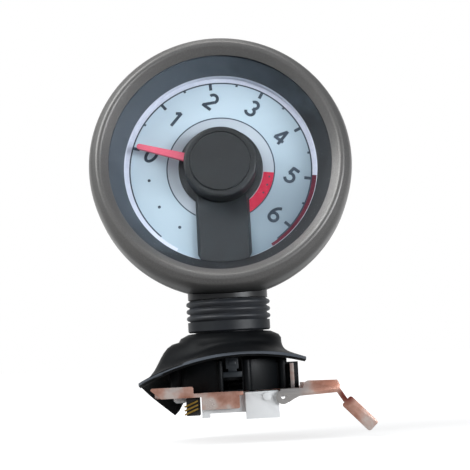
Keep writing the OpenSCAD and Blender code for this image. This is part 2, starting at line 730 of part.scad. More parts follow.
function foot_section(a) = let(out = flare(a), last = len(out) - 1, t = tangent(out, last),
        inside = shifted(out, -foot_wall))
    concat(
        [[spigot_r + free + 0.3, foot_top],
         [foot_collar_r, foot_top] + shoulder[0], [foot_collar_r, foot_top] + shoulder[1]],
        out,
        [out[last] + foot_wall / 2 * ([t[1], -t[0]] + 0.35 * t)],
        reversed([for (i = [3:last]) inside[i]]),
        [[foot_collar_r - foot_wall, inside[3][1] + ledge],
         [foot_collar_r - foot_wall, foot_top - foot_wall],
         [spigot_r + free + 0.3, foot_top - foot_wall]]);
module foot_cover() color(BLACK) {
    section_len = len(foot_section(0));
    points = [for (i = [0:angles - 1]) let(a = 360 * i / angles)
        each [for (p = foot_section(a)) [p[0] * cos(a), p[0] * sin(a), p[1]]]];
    faces = [for (i = [0:angles - 1], j = [0:section_len - 1]) let(
            k = (i + 1) % angles, l = (j + 1) % section_len,
            a = i * section_len + j, b = k * section_len + j,
            c = k * section_len + l, d = i * section_len + l)
        each [[a, b, c], [a, c, d]]];
    polyhedron(points, faces);
}

// Base housing with the swivel's bearing, the slot window and two screw bosses

collar_in = foot_collar_r - foot_wall - gap;
washer_z = groove_z + gap / 2 + ring_t + running;
wave_t = 0.3;
bearing_z = washer_z + wave_t;
bearing_wall = 2.4;
roof_t = 1.6;
boss_at = [[-16.8, -3.1], [15.9, 8.1]];
boss_h = 8;
screw_r = 1.4;
screw_len = 6;
slot_x = 0.4;
slot_sill = 0.4;
jambs = [[-0.8, 0.8], [1.6, 1.3]];      // past each side of the window, and radius
corner_x = 21.2;        // of the gusset under the right of the rim
corner_y = -9.4;
corner_w = 8;
corner_d = 4.4;
corner_h = drum_h - 2.8;
pillar_r = 1.4;
pillar_x = 16.3;
pillar_h = drum_h - 1.4;
drum_bevel = 1.4;

module base_housing() color(BLACK) difference() {
    union() {
        difference() {
            union() {
                rod(drum_r, 0, drum_h - drum_bevel);
                translate([0, 0, drum_h - drum_bevel])
                    cylinder(r1 = drum_r, r2 = drum_r - drum_bevel, h = drum_bevel);
                rod(collar_in, drum_h - eps, foot_top - foot_wall - gap);
                for (p = boss_at) translate(p) rod(screw_r + 1.6, 0, boss_h);
                translate([corner_x - corner_w, corner_y, 0])
                    cube([corner_w, corner_d, corner_h]);
                translate([pillar_x, corner_y, 0]) cylinder(r = pillar_r, h = pillar_h);
                for (side = [0, 1]) let(
                        x = slot_x + (2 * side - 1) * slot_w / 2 + jambs[side][0])
                    translate([x, -sqrt(drum_r * drum_r - x * x), 0])
                        cylinder(r = jambs[side][1], h = drum_h - drum_bevel);
            }
            rod(drum_r - drum_wall, -eps, drum_h - roof_t);
        }
        rod(spigot_r + bearing_wall, bearing_z, drum_h);
    }
    rod(spigot_r + running, -eps, foot_top);
    for (p = boss_at) translate(p) rod(screw_r, -eps, screw_len + 1);
    translate([slot_x - slot_w / 2, -drum_r - 2, slot_sill])
        cube([slot_w, drum_wall + 3.2, slot_h]);
}
module wave_washer() color(STEEL)
    ring(spigot_r + 0.3, spigot_r + 1.9, wave_t, washer_z);
// The clip hangs from the window's top; its cross bar snaps between the jambs
clip_t = 0.8;
clip_y = -drum_r + 0.6;
clip_w = slot_w - 2;
clip_top = slot_sill + slot_h - 0.1;
clip_bar_z = 4.4;
clip_bar_h = 1.7;
clip_tongue_z = 7;
clip_stem_w = 2.6;
clip_nib = [2.2, 0.4, 1.4];

module clip_box(w, y, z0, z1, t = clip_t) translate([-w / 2, y, z0]) cube([w, t, z1 - z0]);
module detent_clip() color("#30353a") translate([slot_x, 0, 0]) {
    clip_box(clip_w, clip_y, clip_tongue_z, clip_top);
    clip_box(clip_stem_w, clip_y, clip_bar_z, clip_top);
    clip_box(slot_w - 0.04, clip_y - 0.3, clip_bar_z, clip_bar_z + clip_bar_h, clip_t + 0.3);
    clip_box(clip_nib[0], clip_y - clip_nib[1], 8.2, 8.2 + clip_nib[2]);
}

// Bracket: a plate, and a front flange cut as lips, an arm and a bent tab

flange_y = -drum_r - 2;
plate_back = 16;
plate_side = 16;        // left end of the plate's wide part
plate_right = 22.6;
wing_right = -12;       // the lip at the left end
wing_lip = [-1.2, 2.2];
wing_cut = [3.2, 2.8];
lip_x = [-9.6, 2.2];    // the centre lip
lip_top = 0.1;
hole_pad = 6;
seat_r = 3.2;           // raised seat round each mounting hole
seat_h = 0.4;
lug_at = [15.7, -2.5];  // the rounded lug by the socket
lug_size = 2.2;
lug_hole = 0.6;
arm_low = -1.9;
arm_root = [[17.4, -4.2], [19.1, -3.2], [20.9, -2.4]];
socket_x = 9.2;
socket_front = flange_y + sheet_t + 0.2;
socket_y = socket_front + socket_d / 2;
window_gap = 0.6;
rail_w = 2.3;           // of the plate in front of the socket's tray
tray_x = -9.7;          // left end of the socket's side tray
upright_x = 18.5;
upright_h = 7.8;
upright_d = 2.8;
post_h = 1.7;
post_d = 4;
tab_neck = [5, 1.5, 58];        // length, width and fall of the bend
tab_at = [1.65, -4.5];          // middle of the tab's end, from the arm's end
function rounded(w, h, r) = concat(
    arc([w - r, h - r], r, 0, 90, 4), arc([r, h - r], r, 90, 180, 4),
    arc([r, r], r, 180, 270, 4), arc([w - r, r], r, 270, 360, 4));

module plate_outline() difference() {
    union() {
        translate([-plate_left, -hole_pad + 1]) square([plate_left, 2 * hole_pad - 2]);
        translate([-plate_side, flange_y])
            square([plate_side + plate_right, plate_back - flange_y]);
        translate([hole_x, 0]) circle(r = hole_pad);
        translate([0, -hole_pad]) square([hole_x, 2 * hole_pad]);
        translate([wing_cut[0] - wing_left, flange_y]) square([wing_left - wing_cut[0], -flange_y]);
    }
    for (side = [-1, 1]) translate([side * hole_x, 0]) circle(r = hole_r);
    for (p = boss_at) translate(p) circle(r = screw_r + 0.3);
    translate([tray_x - window_gap, flange_y + rail_w])
        square([socket_x - tray_x, socket_d - rail_w + sheet_t + 0.2 + window_gap]);
    translate([socket_x - socket_w / 2 - window_gap, flange_y - eps])
        square([socket_w + 2 * window_gap, socket_d + sheet_t + 0.2 + window_gap + eps]);
}
module flange_outline() {
    wing_w = wing_left + wing_right;
    difference() {
        translate([-wing_left, wing_lip[0]])
            polygon(rounded(wing_w, wing_lip[1] - wing_lip[0], 0.6));
        translate([-wing_left - eps, wing_lip[0] - eps])
            polygon([[0, 0], [wing_cut[0], 0], [0, wing_cut[1]]]);
    }
    translate([lip_x[0], lip_top - lip_h])
        polygon(rounded(lip_x[1] - lip_x[0], lip_h, 0.5));
    difference() {
        union() {
            translate(lug_at) circle(r = lug_size);
            polygon(concat([[lug_at[0] - 0.5, 0], [lug_at[0] - 0.5, lug_at[1]]], arm_root,
                [[arm_right - 1.2, arm_low], [arm_right - 0.2, arm_low + 0.9],
                 [arm_right, arm_low + 0.6 * arm_h], [arm_right - 0.8, arm_low + arm_h],
                 [plate_right + 0.9, arm_low + arm_h + 0.2],
                 [plate_right - 0.1, arm_low + arm_h - 0.3], [plate_right - 0.6, 0]]));
        }
        translate(lug_at) circle(r = lug_hole);
    }
    translate([arm_right - 0.8, arm_low + 1]) rotate(-tab_neck[2])
        translate([-0.6, -tab_neck[1] / 2]) square([tab_neck[0], tab_neck[1]]);
    translate([arm_right, 0] + tab_at) rotate(-tab_angle)
        translate([0, -tab_w / 2]) polygon(rounded(tab_len, tab_w, 0.8));
}
module mounting_bracket() color(PLATED) difference() {
    union() {
        translate([0, 0, -sheet_t]) linear_extrude(sheet_t) plate_outline();
        translate([0, flange_y + sheet_t, 0]) rotate([90, 0, 0]) linear_extrude(sheet_t)
            flange_outline();
        for (side = [-1, 1]) translate([side * hole_x, 0, 0])
            rod(seat_r, -sheet_t - seat_h, -sheet_t + eps);
        translate([upright_x, corner_y - gap - upright_d, -sheet_t])
            cube([sheet_t, upright_d, upright_h + sheet_t]);
        translate([plate_right - sheet_t, corner_y - 1 - post_d, -sheet_t])
            cube([sheet_t, post_d, post_h + sheet_t]);
    }
    for (side = [-1, 1]) translate([side * hole_x, 0, 0])
        rod(hole_r, -sheet_t - seat_h - eps, eps);
}
button_r = 2.2;
button_h = 2;
module bracket_screws() color(WHITE) for (p = boss_at) translate(p) {
    rod(screw_r, -sheet_t, screw_len);
    rotate_extrude() polygon([[0, -sheet_t], [button_r, -sheet_t],
        [button_r, 0.7 - sheet_t - button_h], [button_r - 0.7, -sheet_t - button_h],
        [0, -sheet_t - button_h]]);
}

// Plug socket, its header and terminals

socket_top = -0.4;
socket_low = socket_top - socket_h;
mouth_top = socket_top - 1.6;
pin_pitch = 1.8;
row_pitch = 3;
pin_w = 0.6;
pin_fit = 0.05;
pin_reach = 2;          // of a terminal into the socket's mouth
pin_root = 1.4;         // of a terminal above the mouth's roof
tray_z = -6.5;
tray_front = flange_y + rail_w + window_gap;
tray_back = socket_y + socket_d / 2;
tray_end = socket_x - socket_w / 2 + 1;
nub = [2.4, 5, 2.9];
nub_drop = 1.3;
latch_x = socket_x + 1.6;
latch_r = 1.3;
latch_t = 0.6;
header_at = [-14.5, -16.6, -6.9];
header_size = [4.2, 8, 5.4];
side_pins = 3;
side_pitch = 1.2;
side_pin = [4.6, 0.8, 0.5];
side_pin_rise = 22;

// A box given by its middle in x and y, its size and the heights of its two ends
module post(x, y, w, d, z0, z1) translate([x - w / 2, y - d / 2, z0]) cube([w, d, z1 - z0]);
module at_terminals() for (i = [0:pin_count - 1], row = [-1, 1])
    translate([socket_x + (i - (pin_count - 1) / 2) * pin_pitch, socket_y + row * row_pitch / 2, 0])
        children();
module side_pin_row() for (i = [0:side_pins - 1])
    translate([header_at[0] - 0.5, header_at[1] - 0.3, header_at[2] + 0.2 + i * side_pitch])
        rotate([0, -side_pin_rise, 0]) cube(side_pin);
module socket_housing() color(WHITE) difference() {
    union() {
        post(socket_x, socket_y, socket_w, socket_d, socket_low, socket_top);
        translate([tray_x, tray_front, tray_z])
            cube([tray_end - tray_x, tray_back - tray_front, socket_top - tray_z]);
        translate([tray_x, tray_front, tray_z - nub_drop]) cube(nub);
        translate([latch_x, socket_front + 0.1, mouth_top]) rotate([90, 0, 0])
            cylinder(r = latch_r, h = latch_t + 0.1);
    }
    post(socket_x, socket_y, socket_w - 2 * socket_wall, socket_d - 2 * socket_wall,
        socket_low - eps, mouth_top);
    at_terminals() post(0, 0, pin_w + 2 * pin_fit, pin_w + 2 * pin_fit,
        mouth_top - 1, socket_top + 1);
}
module terminals() color(GOLD) {
    at_terminals() post(0, 0, pin_w, pin_w, mouth_top - pin_reach, mouth_top + pin_root);
    side_pin_row();
}
module pin_header() color("#2b2a2c") difference() {
    translate(header_at) cube(header_size);
    side_pin_row();
}

bezel_ring();
rear_shell();
lens();
mask_ring();
dial_plate();
hub_trim();
light_guide();
reflector_ring();
circuit_board();
lamps();
driver_chip();
motor_case();
motor_cover();
stator_core();
coils();
gear_pin();
board_screws();
board_plug();
pod_loom();
needle();
needle_cap();
output_gear();
middle_gear();
rotor();
neck_tube();
ribbed_sleeve();
swivel_ring();
tilt_pins();
friction_washers();
neck_loom();
foot_cover();
base_housing();
wave_washer();
detent_clip();
mounting_bracket();
bracket_screws();
socket_housing();
pin_header();
terminals();
base_loom();
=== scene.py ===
"""A dashboard rev counter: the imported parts, dressed with their real finishes, the dial's
print and the softer edges that the moulded and pressed pieces have."""

import json
import math

import bpy
from mathutils import Matrix, Vector

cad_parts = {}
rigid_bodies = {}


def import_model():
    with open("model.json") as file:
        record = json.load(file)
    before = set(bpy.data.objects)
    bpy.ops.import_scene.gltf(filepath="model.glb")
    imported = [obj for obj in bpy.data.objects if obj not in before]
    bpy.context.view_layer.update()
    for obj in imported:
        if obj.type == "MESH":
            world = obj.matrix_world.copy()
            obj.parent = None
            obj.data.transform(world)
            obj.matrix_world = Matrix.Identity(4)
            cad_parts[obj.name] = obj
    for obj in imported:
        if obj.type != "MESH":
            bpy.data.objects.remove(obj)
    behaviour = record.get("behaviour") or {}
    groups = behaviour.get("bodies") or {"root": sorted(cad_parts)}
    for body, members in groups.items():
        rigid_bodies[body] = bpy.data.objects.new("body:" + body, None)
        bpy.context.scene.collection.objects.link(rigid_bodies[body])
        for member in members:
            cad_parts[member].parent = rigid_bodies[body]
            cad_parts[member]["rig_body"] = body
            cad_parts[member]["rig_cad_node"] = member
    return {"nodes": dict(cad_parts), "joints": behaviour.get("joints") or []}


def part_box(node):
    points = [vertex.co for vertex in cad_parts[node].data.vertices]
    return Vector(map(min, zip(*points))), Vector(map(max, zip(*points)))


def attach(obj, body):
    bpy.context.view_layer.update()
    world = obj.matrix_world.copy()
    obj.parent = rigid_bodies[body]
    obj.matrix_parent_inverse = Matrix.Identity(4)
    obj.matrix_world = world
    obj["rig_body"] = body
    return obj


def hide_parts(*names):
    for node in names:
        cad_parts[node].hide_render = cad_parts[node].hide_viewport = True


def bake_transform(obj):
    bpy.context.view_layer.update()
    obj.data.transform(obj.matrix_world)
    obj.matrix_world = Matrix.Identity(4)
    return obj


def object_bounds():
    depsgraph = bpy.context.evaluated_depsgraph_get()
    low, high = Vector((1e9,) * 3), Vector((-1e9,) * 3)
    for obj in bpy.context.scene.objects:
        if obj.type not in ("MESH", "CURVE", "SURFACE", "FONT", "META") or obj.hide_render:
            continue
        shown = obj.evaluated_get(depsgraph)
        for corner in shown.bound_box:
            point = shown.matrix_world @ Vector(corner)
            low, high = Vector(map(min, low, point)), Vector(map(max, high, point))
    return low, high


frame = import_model()
nodes = frame["nodes"]
cad_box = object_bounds()

MM = 0.001
joints = {joint["name"]: joint for joint in frame["joints"]}

# The dial's own frame: X to the right, Y up its face, Z out towards the driver
dial_centre = Vector(joints["needle_sweep"]["pos_m"])
dial_out = -Vector(joints["needle_sweep"]["axis"])
dial_up = dial_out.cross(Vector((1, 0, 0)))
DIAL = Matrix((
    (1, dial_up.x, dial_out.x, dial_centre.x),
    (0, dial_up.y, dial_out.y, dial_centre.y),
    (0, dial_up.z, dial_out.z, dial_centre.z),
    (0, 0, 0, 1),
))


# Camera, at the photograph's distance and a little below the dial

CAMERA_AT = Vector((3.5, -448.0, 11.7)) * MM
LOOKS_AT = Vector((3.5, 0.0, 50.25)) * MM
CAMERA_ROLL = math.radians(-3.1)


def place_camera():
    bpy.ops.object.camera_add(location=CAMERA_AT)
    camera = bpy.context.object
    camera.name = "view_camera"
    aim = (LOOKS_AT - CAMERA_AT).to_track_quat("-Z", "Y").to_matrix()
    camera.rotation_euler = (aim @ Matrix.Rotation(CAMERA_ROLL, 3, "Z")).to_euler()
    camera.data.sensor_fit = "HORIZONTAL"
    camera.data.sensor_width = 36.0
    camera.data.lens = 105.4
    camera.data.clip_start = 0.01
    camera.data.clip_end = 20.0
    bpy.context.scene.camera = camera


# Light: one broad soft box at the upper left, too far round to show in the lens at rest,
# a weak one overhead and a weak one low at the right

def soft_box(name, at, towards, size, watts, colour):
    bpy.ops.object.light_add(type="AREA", location=at)
    lamp = bpy.context.object
    lamp.name = name
    lamp.rotation_euler = (Vector(towards) - Vector(at)).to_track_quat("-Z", "Y").to_euler()
    lamp.data.shape = "RECTANGLE"
    lamp.data.size, lamp.data.size_y = size
    lamp.data.energy = watts
    lamp.data.color = colour


def place_lights():
    middle = (0.0, 0.0, 0.05)
    soft_box("left_box", (-0.64, -0.30, 0.70), middle, (0.70, 0.70), 10.0, (0.97, 0.99, 1.0))
    soft_box("overhead_box", (0.05, 0.05, 0.85), middle, (0.60, 0.30), 1.6, (1.0, 0.98, 0.95))
    soft_box("right_box", (0.58, -0.55, 0.12), middle, (0.45, 0.22), 4.0, (0.94, 0.97, 1.0))


# Small tools for materials

def linear(value):
    value /= 255
    return value / 12.92 if value <= 0.04045 else ((value + 0.055) / 1.055) ** 2.4


def paint(code):
    """An sRGB hex colour as Blender's linear one."""
    red, green, blue = (int(code[i:i + 2], 16) for i in (1, 3, 5))
    return (linear(red), linear(green), linear(blue), 1.0)


def add(tree, kind, links=None, **settings):
    """Adds a node, sets what is given and links its inputs by name or number."""
    node = tree.nodes.new(kind)
    for key, value in settings.items():
        if hasattr(node, key):
            setattr(node, key, value)
        else:
            node.inputs[key.replace("_", " ").title()].default_value = value
    for key, value in (links or {}).items():
        socket = node.inputs[key]
        if hasattr(value, "is_output"):
            tree.links.new(value, socket)
        else:
            socket.default_value = value
    return node


def finish_of(name, colour, roughness, **settings):
    """A new material with its shader, and the tree to draw in."""
    material = bpy.data.materials.new(name)
    material.use_nodes = True
    tree = material.node_tree
    tree.nodes.clear()
    shader = add(tree, "ShaderNodeBsdfPrincipled")
    shader.inputs["Base Color"].default_value = paint(colour)
    shader.inputs["Roughness"].default_value = roughness
    for key, value in settings.items():
        shader.inputs[key.replace("_", " ")].default_value = value
    out = add(tree, "ShaderNodeOutputMaterial")
    tree.links.new(shader.outputs["BSDF"], out.inputs["Surface"])
    return material, tree, shader


def where(tree):
    return add(tree, "ShaderNodeTexCoord").outputs["Object"]


def ramp(tree, value, stops):
    node = add(tree, "ShaderNodeValToRGB", {"Fac": value})
    elements = node.color_ramp.elements
    while len(elements) < len(stops):
        elements.new(1.0)
    for element, (place, colour) in zip(elements, stops):
        element.position = place
        element.color = paint(colour) if isinstance(colour, str) else (colour,) * 3 + (1.0,)
    return node.outputs["Color"]


def grain(tree, shader, size_mm, depth_mm, detail=3.0):
    """Moulded or sprayed grain: noise of that size as a bump."""
    noise = add(tree, "ShaderNodeTexNoise", {
        "Vector": where(tree), "Scale": 1000 / size_mm, "Detail": detail, "Roughness": 0.6})
    bump = add(tree, "ShaderNodeBump", {
        "Height": noise.outputs["Fac"], "Distance": depth_mm * MM, "Strength": 0.6})
    tree.links.new(bump.outputs["Normal"], shader.inputs["Normal"])
    return noise


def cloudy(tree, size_mm, detail=2.0):
    return add(tree, "ShaderNodeTexNoise", {
        "Vector": where(tree), "Scale": 1000 / size_mm, "Detail": detail}).outputs["Fac"]


def zone(tree, centre_mm, full_mm, none_mm):
    """1 near a place on the object, falling to 0 further off."""
    centre = Vector(centre_mm) * MM
    place = add(tree, "ShaderNodeVectorMath", {0: where(tree), 1: centre},
                operation="DISTANCE").outputs["Value"]
    return add(tree, "ShaderNodeMapRange", {
        "Value": place, "From Min": full_mm * MM, "From Max": none_mm * MM,
        "To Min": 1.0, "To Max": 0.0}).outputs["Result"]


def blended(tree, factor, first, second):
    """The colour between two, each given as its code or as a socket."""
    mix = add(tree, "ShaderNodeMix", {"Factor": factor}, data_type="RGBA")
    for socket, colour in ((mix.inputs[6], first), (mix.inputs[7], second)):
        if isinstance(colour, str):
            socket.default_value = paint(colour)
        else:
            tree.links.new(colour, socket)
    return mix.outputs[2]


def from_axis(tree):
    """Where a point is, measured from the needle's place on the dial."""
    return add(tree, "ShaderNodeVectorMath", {
        0: where(tree), 1: dial_centre}, operation="SUBTRACT").outputs["Vector"]


def painted_light_slant(tree, place, to_mm):
    """0 at the dial's lower right, rising to 1 at its upper left: where painted light and
    painted shade are laid.
    """
    side = add(tree, "ShaderNodeVectorMath", {
        0: place, 1: (-0.7, 0.0, 0.7)}, operation="DOT_PRODUCT").outputs["Value"]
    return add(tree, "ShaderNodeMapRange", {
        "Value": side, "From Min": -30 * MM, "From Max": to_mm * MM}).outputs["Result"]


def set_finish(obj, material):
    obj.data.materials.clear()
    obj.data.materials.append(material)


# Materials

def pod_lacquer():
    """Satin warm-grey metallic lacquer sprayed over ABS: a soft broad highlight, with flake
    too fine to see apart, so it is drawn as a faint speckle 0.35 mm across. It is painted
    dark where it meets the neck, as painted shade."""
    material, tree, shader = finish_of(
        "pod_lacquer_on_abs", "#757371", 0.42, Metallic=0.40, Specular_IOR_Level=0.5,
        Coat_Weight=0.10, Coat_Roughness=0.3)
    speckle = grain(tree, shader, 0.35, 0.008)
    tint = ramp(tree, speckle.outputs["Fac"], [(0.35, "#6e6c6a"), (0.65, "#7c7a78")])
    # Painted shade: the lacquer darkens towards the neck, from 34 mm down to 31.5 mm.
    height = add(tree, "ShaderNodeSeparateXYZ", {"Vector": where(tree)}).outputs["Z"]
    out_of_painted_neck_shade = add(tree, "ShaderNodeMapRange", {
        "Value": height, "From Min": 31.5 * MM, "From Max": 34.0 * MM})
    tree.links.new(blended(tree, out_of_painted_neck_shade.outputs["Result"], "#363636", tint),
                   shader.inputs["Base Color"])
    wear = cloudy(tree, 14.0, 4.0)
    gloss = ramp(tree, wear, [(0.3, 0.38), (0.7, 0.46)])
    tree.links.new(gloss, shader.inputs["Roughness"])
    return material


def lens_polycarbonate():
    """Clear injection-moulded polycarbonate, no tint. Its index is set to 1.2, below
    polycarbonate's 1.585, so that a mirrored lamp leaves the dial readable. Rays from the
    lamps pass straight through, so that the dial stays lit."""
    material, tree, shader = finish_of(
        "lens_polycarbonate", "#ffffff", 0.03, IOR=1.2, Transmission_Weight=1.0)
    haze = cloudy(tree, 20.0)
    tree.links.new(ramp(tree, haze, [(0.3, 0.02), (0.8, 0.05)]), shader.inputs["Roughness"])
    through = add(tree, "ShaderNodeBsdfTransparent")
    path = add(tree, "ShaderNodeLightPath")
    mix = add(tree, "ShaderNodeMixShader", {
        0: path.outputs["Is Shadow Ray"], 1: shader.outputs["BSDF"], 2: through.outputs["BSDF"]})
    out = next(node for node in tree.nodes if node.type == "OUTPUT_MATERIAL")
    tree.links.new(mix.outputs["Shader"], out.inputs["Surface"])
    return material


def mask_with_pale_foot():
    """Slate moulded ABS, with painted light at the upper left and painted shade towards the
    lower right, and the white edge of its foot, 1.9 mm high, round the dial."""
    material, tree, shader = finish_of("mask_moulded_abs", "#323a42", 0.6)
    grain(tree, shader, 0.4, 0.012)
    place = from_axis(tree)
    # Painted light at the upper left and painted shade at the lower right, mixed with a random
    # mottle.
    painted_light_and_mottle = add(tree, "ShaderNodeMath", {
        0: painted_light_slant(tree, place, 30), 1: cloudy(tree, 9.0, 4.0)}, operation="ADD").outputs["Value"]
    half = add(tree, "ShaderNodeMath", {0: painted_light_and_mottle, 1: 0.5}, operation="MULTIPLY")
    tone_with_painted_light = ramp(tree, half.outputs["Value"], [
        (0.24, "#0f1115"), (0.40, "#1a1f24"), (0.52, "#333b43"), (0.72, "#444d56")])
    across = add(tree, "ShaderNodeVectorMath", {0: place, 1: dial_out},
                 operation="CROSS_PRODUCT").outputs["Vector"]
    radius = add(tree, "ShaderNodeVectorMath", {0: across}, operation="LENGTH").outputs["Value"]
    slope = add(tree, "ShaderNodeMapRange", {
        "Value": radius, "From Min": 31.48 * MM, "From Max": 31.56 * MM})
    tree.links.new(blended(tree, slope.outputs["Result"], "#c3c9d6", tone_with_painted_light),
                   shader.inputs["Base Color"])
    return material


def moulded_black(name, dark, light, roughness, size_mm, depth_mm, gloss=0.5):
    """Moulded ABS with an eroded grain: near black, with a cool sheen where it is rubbed."""
    material, tree, shader = finish_of(name, dark, roughness, Specular_IOR_Level=gloss)
    grain(tree, shader, size_mm, depth_mm)
    rubbed = cloudy(tree, 9.0, 4.0)
    tree.links.new(ramp(tree, rubbed, [(0.35, dark), (0.7, light)]),
                   shader.inputs["Base Color"])
    tree.links.new(ramp(tree, rubbed, [(0.3, roughness + 0.05), (0.75, roughness - 0.05)]),
                   shader.inputs["Roughness"])
    return material


def foot_moulding():
    """Moulded ABS like the housing's, its rim rubbed grey all round with a painted highlight."""
    material = moulded_black("foot_moulded_abs", "#08090b", "#0f1113", 0.55, 0.5, 0.015, 0.14)
    tree = material.node_tree
    shader = next(node for node in tree.nodes if node.type == "BSDF_PRINCIPLED")
    black = shader.inputs["Base Color"].links[0].from_socket
    facing = add(tree, "ShaderNodeSeparateXYZ", {
        "Vector": add(tree, "ShaderNodeNewGeometry").outputs["Normal"]}).outputs["Z"]
    upright_highlight_faces = add(tree, "ShaderNodeMapRange", {
        "Value": add(tree, "ShaderNodeMath", {0: facing}, operation="ABSOLUTE").outputs["Value"],
        "From Min": 0.25, "From Max": 0.45, "To Min": 1.0, "To Max": 0.0})
    height = add(tree, "ShaderNodeSeparateXYZ", {"Vector": where(tree)}).outputs["Z"]
    low = add(tree, "ShaderNodeMapRange", {
        "Value": height, "From Min": 11.5 * MM, "From Max": 12.5 * MM,
        "To Min": 1.0, "To Max": 0.0})
    # The rim's grey is rubbed wear and a painted highlight, on its upright faces low down.
    rim = add(tree, "ShaderNodeMath", {
        0: upright_highlight_faces.outputs["Result"], 1: low.outputs["Result"]}, operation="MULTIPLY")
    tree.links.new(blended(tree, rim.outputs["Value"], black, "#565b62"),
                   shader.inputs["Base Color"])
    return material


def plain_moulding(name, dark, light, roughness, size_mm=0.4, depth_mm=0.01, **settings):
    """Smooth moulded plastic, with slight flow marks in its colour."""
    material, tree, shader = finish_of(name, light, roughness, **settings)
    grain(tree, shader, size_mm, depth_mm)
    tree.links.new(ramp(tree, cloudy(tree, 6.0), [(0.3, dark), (0.7, light)]),
                   shader.inputs["Base Color"])
    return material


def dial_film():
    """Screen-printed polycarbonate film, pale blue grey: painted light at the upper left and
    painted shade towards the lower right, with a greyer band round the axis, its tint partly
    painted shade."""
    material, tree, shader = finish_of(
        "dial_printed_film", "#c6d6e2", 0.55, Specular_IOR_Level=0.35)
    place = from_axis(tree)
    # Painted light and shade: lighter at the upper left, darker towards the lower right.
    tone_with_painted_light = ramp(tree, painted_light_slant(tree, place, 28), [
        (0.0, "#7c8d98"), (0.3, "#9dafbb"), (0.6, "#aabdc9"), (1.0, "#bccfdb")])
    # The band round the axis: the film's own grey tint, darkened further as painted shade near
    # the hub.
    radius = add(tree, "ShaderNodeVectorMath", {0: place}, operation="LENGTH").outputs["Value"]
    band = add(tree, "ShaderNodeMapRange", {
        "Value": radius, "From Min": 17.4 * MM, "From Max": 17.8 * MM})
    tree.links.new(blended(tree, band.outputs["Result"], "#a7b1bb", tone_with_painted_light),
                   shader.inputs["Base Color"])
    grain(tree, shader, 0.25, 0.004)
    return material


def printed_ink(name, colour, second, roughness=0.6):
    """Screen ink on film: flat and matt, with the faintest mottle."""
    material, tree, shader = finish_of(name, colour, roughness, Specular_IOR_Level=0.3)
    tree.links.new(ramp(tree, cloudy(tree, 1.5), [(0.3, colour), (0.7, second)]),
                   shader.inputs["Base Color"])
    return material


def needle_paint():
    """Fluorescent rose paint on clear acrylic, with a faint painted glow of its own."""
    # The emission is a painted glow: the needle is no lamp.
    material, tree, shader = finish_of(
        "needle_fluorescent_paint", "#c95a70", 0.45, Emission_Strength=0.08)
    shader.inputs["Emission Color"].default_value = paint("#e8677c")
    tint = ramp(tree, cloudy(tree, 5.0), [(0.3, "#c4556b"), (0.7, "#cf6177")])
    tree.links.new(tint, shader.inputs["Base Color"])
    return material


def sleeve_rubber():
    """Moulded EPDM rubber: black with a cool bloom and a soft sheen on the ribs' crests."""
    material, tree, shader = finish_of(
        "sleeve_epdm_rubber", "#1a1d22", 0.5, Specular_IOR_Level=0.8, Sheen_Weight=0.15)
    grain(tree, shader, 0.5, 0.01)
    bloom = ramp(tree, cloudy(tree, 7.0, 4.0), [(0.35, "#1a1d22"), (0.7, "#2b3037")])
    tree.links.new(bloom, shader.inputs["Base Color"])
    return material


def bracket_plating():
    """Pressed steel with zinc plate and a copper-brown passivation that has gone patchy:
    rose brown, worn to silver grey round the lug and darker red at the arm's thin neck."""
    material, tree, shader = finish_of("bracket_passivated_zinc", "#d0a28f", 0.33, Metallic=0.6)
    patch = cloudy(tree, 7.0, 5.0)
    tint = ramp(tree, patch, [(0.36, "#b27a66"), (0.5, "#d8a997"), (0.62, "#e9d8cf")])
    worn = zone(tree, (16.5, -19.0, -1.5), 4.0, 9.0)
    silver = blended(tree, worn, tint, "#bdb8b4")
    # Dark red round the arm's thin neck, where it bends.
    dark_red_neck = zone(tree, (35.6, -19.0, -2.6), 1.6, 3.6)
    tree.links.new(blended(tree, dark_red_neck, silver, "#7c3a30"), shader.inputs["Base Color"])
    tree.links.new(ramp(tree, patch, [(0.3, 0.42), (0.7, 0.26)]), shader.inputs["Roughness"])
    grain(tree, shader, 2.2, 0.05)
    return material


def bright_steel(name, dark, light, roughness, metallic=1.0):
    """Zinc-plated steel: grey metal with a fine even frost."""
    material, tree, shader = finish_of(name, light, roughness, Metallic=metallic)
    grain(tree, shader, 0.3, 0.004)
    tree.links.new(ramp(tree, cloudy(tree, 3.0), [(0.3, dark), (0.7, light)]),
                   shader.inputs["Base Color"])
    return material


def winding_copper():
    """Enamelled copper wire 0.1 mm thick, wound side by side: drawn as turns 0.3 mm apart."""
    material, tree, shader = finish_of("coil_enamelled_copper", "#b5652f", 0.32, Metallic=0.9)
    turns = add(tree, "ShaderNodeTexWave", {
        "Vector": where(tree), "Scale": 1000 / 0.3 / 20, "Distortion": 0.3},
        bands_direction="X")
    tree.links.new(ramp(tree, turns.outputs["Fac"], [(0.2, "#7c3f18"), (0.8, "#cc7b40")]),
                   shader.inputs["Base Color"])
    bump = add(tree, "ShaderNodeBump", {
        "Height": turns.outputs["Fac"], "Distance": 0.05 * MM, "Strength": 0.6})
    tree.links.new(bump.outputs["Normal"], shader.inputs["Normal"])
    return material


def board_mask():
    """Glass-epoxy board under green solder mask, with tracks 1 mm apart showing through."""
    material, tree, shader = finish_of("board_solder_mask", "#24553a", 0.38, Coat_Weight=0.3)
    tracks = add(tree, "ShaderNodeTexBrick", {
        "Vector": where(tree), "Scale": 60.0, "Color1": paint("#2b6443"),
        "Color2": paint("#24553a"), "Mortar": paint("#3f8259"), "Mortar Size": 0.03})
    tree.links.new(tracks.outputs["Color"], shader.inputs["Base Color"])
    grain(tree, shader, 0.4, 0.01)
    return material


